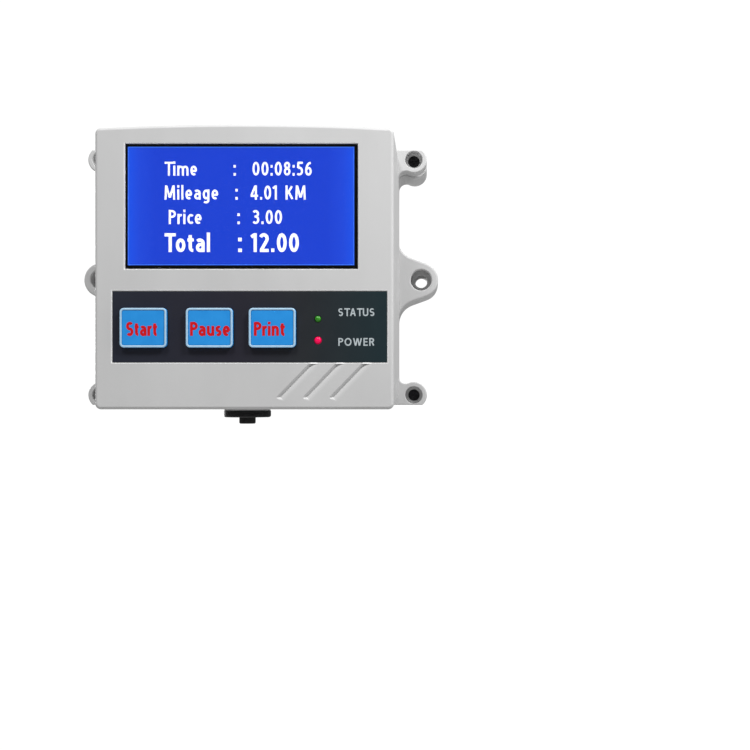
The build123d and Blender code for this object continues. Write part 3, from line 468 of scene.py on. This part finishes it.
DOT = [stem(HALF + 0.01, 0.19)]
GLYPHS = {
    " ": (0.34, []),
    ".": (0.19, DOT),
    ":": (0.19, DOT + [stem(HALF + 0.01, 0.76, 0.57)]),
    "0": (0.52, [oval(0.52, 0, 1)]),
    "1": (0.30, [stem(0.21, 1), [(0.0, 0.80), (0.17, 0.92)]]),
    "2": (0.48, [curve(0.22, 0.71, 0.18, 0.205, 155, -25) + [(0.1, 0.12)], bar(HALF, 0.02, 0.48)]),
    "3": (
        0.46,
        [
            curve(0.19, 0.725, 0.17, 0.19, 145, -90) + [(0.12, 0.535)],
            [(0.12, 0.535)] + curve(0.19, 0.31, 0.185, 0.225, 90, -145),
        ],
    ),
    "4": (0.54, [stem(0.38, 1), bar(0.27, 0.0, 0.54), [(0.34, 0.97), (0.05, 0.30)]]),
    "5": (
        0.47,
        [
            bar(1 - HALF, 0.07, 0.44),
            [(0.12, 1 - HALF), (0.10, 0.54)],
            curve(0.18, 0.33, 0.205, 0.245, 112, -130),
        ],
    ),
    "6": (0.50, [oval(0.50, 0, 0.63), curve(0.415, 0.34, 0.33, 0.575, 90, 180)]),
    "8": (0.50, [curve(0.25, 0.73, 0.145, 0.185, 0, 360), curve(0.25, 0.295, 0.165, 0.21, 0, 360)]),
    "A": (0.62, [[(0.07, 0.03), (0.29, 0.97)], [(0.55, 0.03), (0.33, 0.97)], bar(0.33, 0.14, 0.48)]),
    "E": (0.46, [stem(HALF, 1), bar(HALF, HALF, 0.46), bar(0.52, HALF, 0.42), bar(1 - HALF, HALF, 0.45)]),
    "K": (0.58, [stem(HALF, 1), [(0.14, 0.42), (0.47, 0.94)], [(0.22, 0.56), (0.50, 0.05)]]),
    "M": (
        0.78,
        [
            [(HALF, 0), (HALF + 0.04, 1)],
            [(0.695, 0), (0.655, 1)],
            [(HALF + 0.06, 0.97), (0.38, 0.15)],
            [(0.635, 0.97), (0.40, 0.15)],
        ],
    ),
    "O": (0.74, [oval(0.74, 0, 1)]),
    "P": (0.53, [stem(HALF, 1), upper_bowl(0.53)]),
    "R": (0.56, [stem(HALF, 1), upper_bowl(0.53), [(0.28, 0.50), (0.47, 0.04)]]),
    "S": (0.54, [double_bend(0.54, 1)]),
    "T": (0.62, [bar(1 - HALF, 0, 0.62), stem(0.31, 0.9)]),
    "U": (0.62, [[(HALF, 1)] + curve(0.31, 0.3, 0.31 - HALF, 0.3 - HALF, 180, 360) + [(0.62 - HALF, 1)]]),
    "W": (
        0.90,
        [
            [(0.07, 0.98), (0.25, 0.03)],
            [(0.27, 0.03), (0.43, 0.95)],
            [(0.47, 0.95), (0.63, 0.03)],
            [(0.65, 0.03), (0.83, 0.98)],
        ],
    ),
    "a": (
        0.48,
        [
            curve(0.215, LOWER - HALF - 0.16, 0.18, 0.16, 140, 0) + [(0.395, 0)],
            [(0.395, 0.41), (0.25, 0.40)] + curve(0.24, 0.24, 0.155, 0.16, 100, 275) + [(0.38, 0.16)],
        ],
    ),
    "c": (0.42, [curve(0.27, LOWER / 2, 0.185, LOWER / 2 - HALF, 48, 312)]),
    "e": (0.50, [bar(0.34, 0.10, 0.44), curve(0.25, LOWER / 2, 0.165, LOWER / 2 - HALF, -4, 308)]),
    "g": (
        0.50,
        [
            oval(0.50, 0, LOWER),
            [(0.50 - HALF, LOWER), (0.50 - HALF, -0.05)] + curve(0.24, -0.06, 0.175, 0.135, 0, -140),
        ],
    ),
    "i": (0.17, [stem(HALF, LOWER), stem(HALF, 1.02, 0.84)]),
    "l": (0.17, [stem(HALF, 1.03)]),
    "m": (0.84, [stem(HALF, LOWER), arch(HALF, 0.42), arch(0.42, 0.755)]),
    "n": (0.50, [stem(HALF, LOWER), arch(HALF, 0.415)]),
    "o": (0.52, [oval(0.52, 0, LOWER)]),
    "r": (0.33, [stem(HALF, LOWER), curve(0.30, LOWER - HALF - 0.2, 0.215, 0.2, 170, 82)]),
    "s": (0.40, [double_bend(0.40, LOWER)]),
    "t": (
        0.34,
        [
            [(0.15, 0.90)] + curve(0.30, 0.24, 0.15, 0.155, 180, 275),
            bar(LOWER - HALF + 0.01, 0, 0.34),
        ],
    ),
    "u": (0.50, [stem(0.50 - HALF, LOWER), [(HALF, LOWER)] + curve(0.25, 0.26, 0.165, 0.175, 180, 350)]),
}
TUCKED = {"T": 0.12, "P": 0.03, "r": 0.03, "1": -0.02}


def ribbon(points, half):
    """The left and right edges of a stroke along points, closed up where it ends at its start."""
    closed = math.dist(points[0], points[-1]) < 1e-6
    edges = []
    for i, point in enumerate(points):
        before = points[i - 1] if i else (points[-2] if closed else point)
        after = points[i + 1] if i + 1 < len(points) else (points[1] if closed else point)
        pairs = ((before, point), (point, after))
        steps = [(Vector(b) - Vector(a)).normalized() for a, b in pairs if a != b]
        way = sum(steps, Vector((0, 0))).normalized()
        reach = half / max(0.75, way.dot(steps[0]))
        side = Vector((-way.y, way.x)) * reach
        edges.append((Vector(point) + side, Vector(point) - side))
    return edges


def lettering(name, words, left, base, height, width, letter_height, stroke, material, body):
    """Raised letters: left and base place the first letter's corner at a height above the wall.

    The middle lines are spread to fill the width, and a width of 0 is for a colon.
    """
    strokes, pen = [], 0.0
    for letter in words:
        advance, shapes = GLYPHS[letter]
        strokes += [[(x + pen, z) for x, z in shape] for shape in shapes]
        pen += advance + LETTER_GAP - TUCKED.get(letter, 0)
    half = stroke / 2
    xs = [x for shape in strokes for x, _ in shape]
    spread = (width - stroke) / max(max(xs) - min(xs), 0.001) if width else 0
    vertices, faces = [], []
    for number, shape in enumerate(strokes):
        lifted = -height - number * STROKE_STEP
        placed = [(left + half + (x - min(xs)) * spread, base + z * letter_height) for x, z in shape]
        start = len(vertices)
        for one_side, other_side in ribbon(placed, half):
            vertices += [(one_side.x, lifted, one_side.y), (other_side.x, lifted, other_side.y)]
        for i in range(start, len(vertices) - 2, 2):
            faces.append((i, i + 1, i + 3, i + 2))
    mesh = bpy.data.meshes.new(name)
    mesh.from_pydata(vertices, [], faces)
    return show(mesh, name, material, body)


PRINT_AND_PAINTED_GLOW = outline_print_and_painted_glow()
RIM = rim_blue()
RED = legend_red()
LABEL = label_grey()
WHITE = readout_white()
PALE_BLUE = edge_blue()
RIM_PAINTED_SHADE = rim_painted_shade()


def middle(node):
    low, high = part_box(node)
    return (low[0] + high[0]) / 2, (low[2] + high[2]) / 2


def extent(node):
    low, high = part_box(node)
    return high[0] - low[0], high[2] - low[2]


def front(node):
    """The height of a node's front above the mounting face."""
    return -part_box(node)[0][1]


def outline_round(name, node, height_of_face):
    """A white printed line on the chamfered edge round a recess that a flat node fills, brightened by a
    painted glow.
    """
    width, height = extent(node)
    edge, slope, line, film = 0.12 * MM, 0.25 * MM, 0.02 * MM, 0.02 * MM
    section = [
        (edge, height_of_face - slope),
        (edge + slope, height_of_face),
        (edge + slope + line, height_of_face),
        (edge + slope + line, height_of_face + film),
        (edge + slope, height_of_face + film),
        (edge, height_of_face - slope + film),
    ]
    path = rounded_path(width, height, 0)
    return frame_strip(name, middle(node), path, section, PRINT_AND_PAINTED_GLOW, "case")


CASE_FRONT = front("front_cover")
outline_round("window_outline", "display_lens", CASE_FRONT)
outline_round("fascia_outline", "fascia_panel", CASE_FRONT)

# The pale line of light round the edge of the lit glass
glass_front = front("lcd_glass")
glow_line = [
    (-0.3 * MM, glass_front - 0.05 * MM),
    (-0.3 * MM, glass_front + 0.03 * MM),
    (0, glass_front + 0.03 * MM),
    (0, glass_front - 0.05 * MM),
]
glass_path = rounded_path(*extent("lcd_glass"), 0)
frame_strip("display_edge_light", middle("lcd_glass"), glass_path, glow_line, PALE_BLUE, "case")

# Keys: a raised light-blue rim, a painted shade line just inside it and a red legend on each
RIM_WIDTH, RIM_RISE, KEY_CORNER, KEY_MARGIN = 0.6 * MM, 0.1 * MM, 1.2 * MM, 0.02 * MM
KEY_FLANGE_EDGE = 1.2 * MM
SHADE_WIDTH = 0.16 * MM
# Each key's legend: its word, its shift from the key's middle and its width, in millimetres
LEGENDS = {"start": ("Start", -0.2, 9.4), "pause": ("Pause", 0.3, 11.7), "print": ("Print", -0.6, 9.4)}
LEGEND_HEIGHT, LEGEND_DROP, LEGEND_STROKE = 4.0 * MM, 0.35 * MM, 0.83 * MM

for key, (word, shift, word_width) in LEGENDS.items():
    node = key + "_key"
    x, z = middle(node)
    top = front(node)
    bead = []
    for step in range(9):
        angle = math.pi * step / 8
        across = -RIM_WIDTH / 2 + RIM_WIDTH / 2 * math.cos(angle)
        bead.append((across - KEY_MARGIN, top + RIM_RISE * math.sin(angle)))
    bead.append((-RIM_WIDTH - KEY_MARGIN, top - 0.3 * MM))
    bead.append((-0.3 * MM, top - 0.45 * MM))
    cap = [side - 2 * KEY_FLANGE_EDGE for side in extent(node)]
    path = rounded_path(*cap, KEY_CORNER)
    frame_strip(key + "_key_rim", (x, z), path, bead, RIM, key + "_button")
    # A thin darker strip just inside the rim paints the shade that the raised bead casts on the key.
    inner = -RIM_WIDTH - KEY_MARGIN
    line = [
        (inner - SHADE_WIDTH, top - 0.1 * MM),
        (inner - SHADE_WIDTH, top + 0.012 * MM),
        (inner, top + 0.012 * MM),
        (inner, top - 0.1 * MM),
    ]
    frame_strip(key + "_key_painted_shade_line", (x, z), path, line, RIM_PAINTED_SHADE, key + "_button")
    lettering(
        key + "_key_legend",
        word,
        x + shift * MM - word_width * MM / 2,
        z - LEGEND_DROP - LEGEND_HEIGHT / 2,
        top + 0.01 * MM,
        word_width * MM,
        LEGEND_HEIGHT,
        LEGEND_STROKE,
        RED,
        key + "_button",
    )

# Lamp labels on the fascia
LABEL_LEFT, LABEL_WIDTH, LABEL_HEIGHT, LABEL_STROKE = 27.4 * MM, 10.5 * MM, 2.3 * MM, 0.38 * MM
for word, lamp, rise in (("STATUS", "status_lamp", 0.8 * MM), ("POWER", "power_lamp", -1.65 * MM)):
    lettering(
        word.lower() + "_label",
        word,
        LABEL_LEFT,
        middle(lamp)[1] + rise,
        front("fascia_panel") + 0.01 * MM,
        LABEL_WIDTH,
        LABEL_HEIGHT,
        LABEL_STROKE,
        LABEL,
        "case",
    )

# Readout rows on the display: label and value with their left ends and widths, the colon's left end,
# then base line, letter height and stroke, in millimetres from the glass's left and bottom edges
ROWS = [
    ("Time", 10.45, 9.85, "00:08:56", 36.4, 17.3, 30.85, 26.15, 4.1, 0.60),
    ("Mileage", 10.7, 15.8, "4.01 KM", 35.55, 16.4, 31.4, 19.15, 4.15, 0.60),
    ("Price", 11.95, 9.7, "3.00", 36.35, 8.65, 32.0, 12.0, 4.15, 0.62),
    ("Total", 10.25, 13.75, "12.00", 35.55, 14.4, 32.2, 3.85, 5.5, 0.94),
]
COLON_WIDENING = 1.15
glass_low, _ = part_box("lcd_glass")
for number, row in enumerate(ROWS, 1):
    label, label_left, label_width, value, value_left, value_width, colon_left, base, height, stroke = row
    for part, words, left, width, thickness in (
        ("label", label, label_left * MM, label_width * MM, stroke * MM),
        ("colon", ":", colon_left * MM, 0, stroke * COLON_WIDENING * MM),
        ("value", value, value_left * MM, value_width * MM, stroke * MM),
    ):
        lettering(
            f"readout_{number}_{part}",
            words,
            glass_low[0] + left,
            glass_low[2] + base * MM,
            front("lcd_glass") + 0.05 * MM,
            width,
            height * MM,
            thickness,
            WHITE,
            "case",
        )


# ---------------------------------------------------------------- stage, light and camera


def stage_floor():
    """A plain pale floor well below the meter, which hangs on a wall mount."""
    side, near, far = 3.0, -3.0, 0.8
    z = cad_box[0][2] - FLOOR_DROP
    mesh = bpy.data.meshes.new("floor")
    mesh.from_pydata([(-side, near, z), (side, near, z), (side, far, z), (-side, far, z)], [], [(0, 1, 2, 3)])
    floor = bpy.data.objects.new("floor", mesh)
    scene.collection.objects.link(floor)
    finish = Finish("floor_pale", grey(0.82), 0.8)
    finish.tint(300 * MM, grey(0.80), grey(0.84))
    mesh.materials.append(finish.material)


def area_light(name, place, target, size, power):
    light = bpy.data.lights.new(name, "AREA")
    light.shape = "DISK"
    light.size = size
    light.energy = power
    lamp = bpy.data.objects.new(name, light)
    lamp.location = place
    lamp.rotation_euler = (Vector(target) - Vector(place)).to_track_quat("-Z", "Y").to_euler()
    scene.collection.objects.link(lamp)


def world_light():
    """White surroundings that are seen at full strength and light the meter more softly."""
    world = bpy.data.worlds.new("studio")
    world.use_nodes = True
    scene.world = world
    nodes, links = world.node_tree.nodes, world.node_tree.links
    background = nodes["Background"]
    background.inputs["Color"].default_value = (1, 1, 1, 1)
    seen = nodes.new("ShaderNodeLightPath")
    strength = nodes.new("ShaderNodeMapRange")
    strength.inputs["To Min"].default_value = AMBIENT
    strength.inputs["To Max"].default_value = 1.05
    links.new(seen.outputs["Is Camera Ray"], strength.inputs["Value"])
    links.new(strength.outputs["Result"], background.inputs["Strength"])


AMBIENT = 0.27
stage_floor()
world_light()
area_light("key_light", (-0.22, -0.52, 0.92), (0, -0.03, 0), 0.30, 7.8)
area_light("side_light", (0.24, -0.20, 0.30), (0, -0.03, 0), 0.10, 1.45)
area_light("low_light", (0.30, -0.10, 0.0), (0, -0.03, 0), 0.10, 0.14)
area_light("back_light", (-0.35, 0.60, 0.0), (0, 0, 0), 0.40, 3.0)

camera = bpy.data.objects.new("camera", bpy.data.cameras.new("camera"))
camera.data.sensor_width = 36
camera.data.lens = CAMERA_LENS
camera.data.shift_x, camera.data.shift_y = CAMERA_SHIFT
camera.data.clip_start = 0.01
camera.location = CAMERA_AT
camera.rotation_euler = (math.radians(90), 0, 0)
scene.collection.objects.link(camera)
scene.camera = camera

scene.view_settings.view_transform = "Standard"
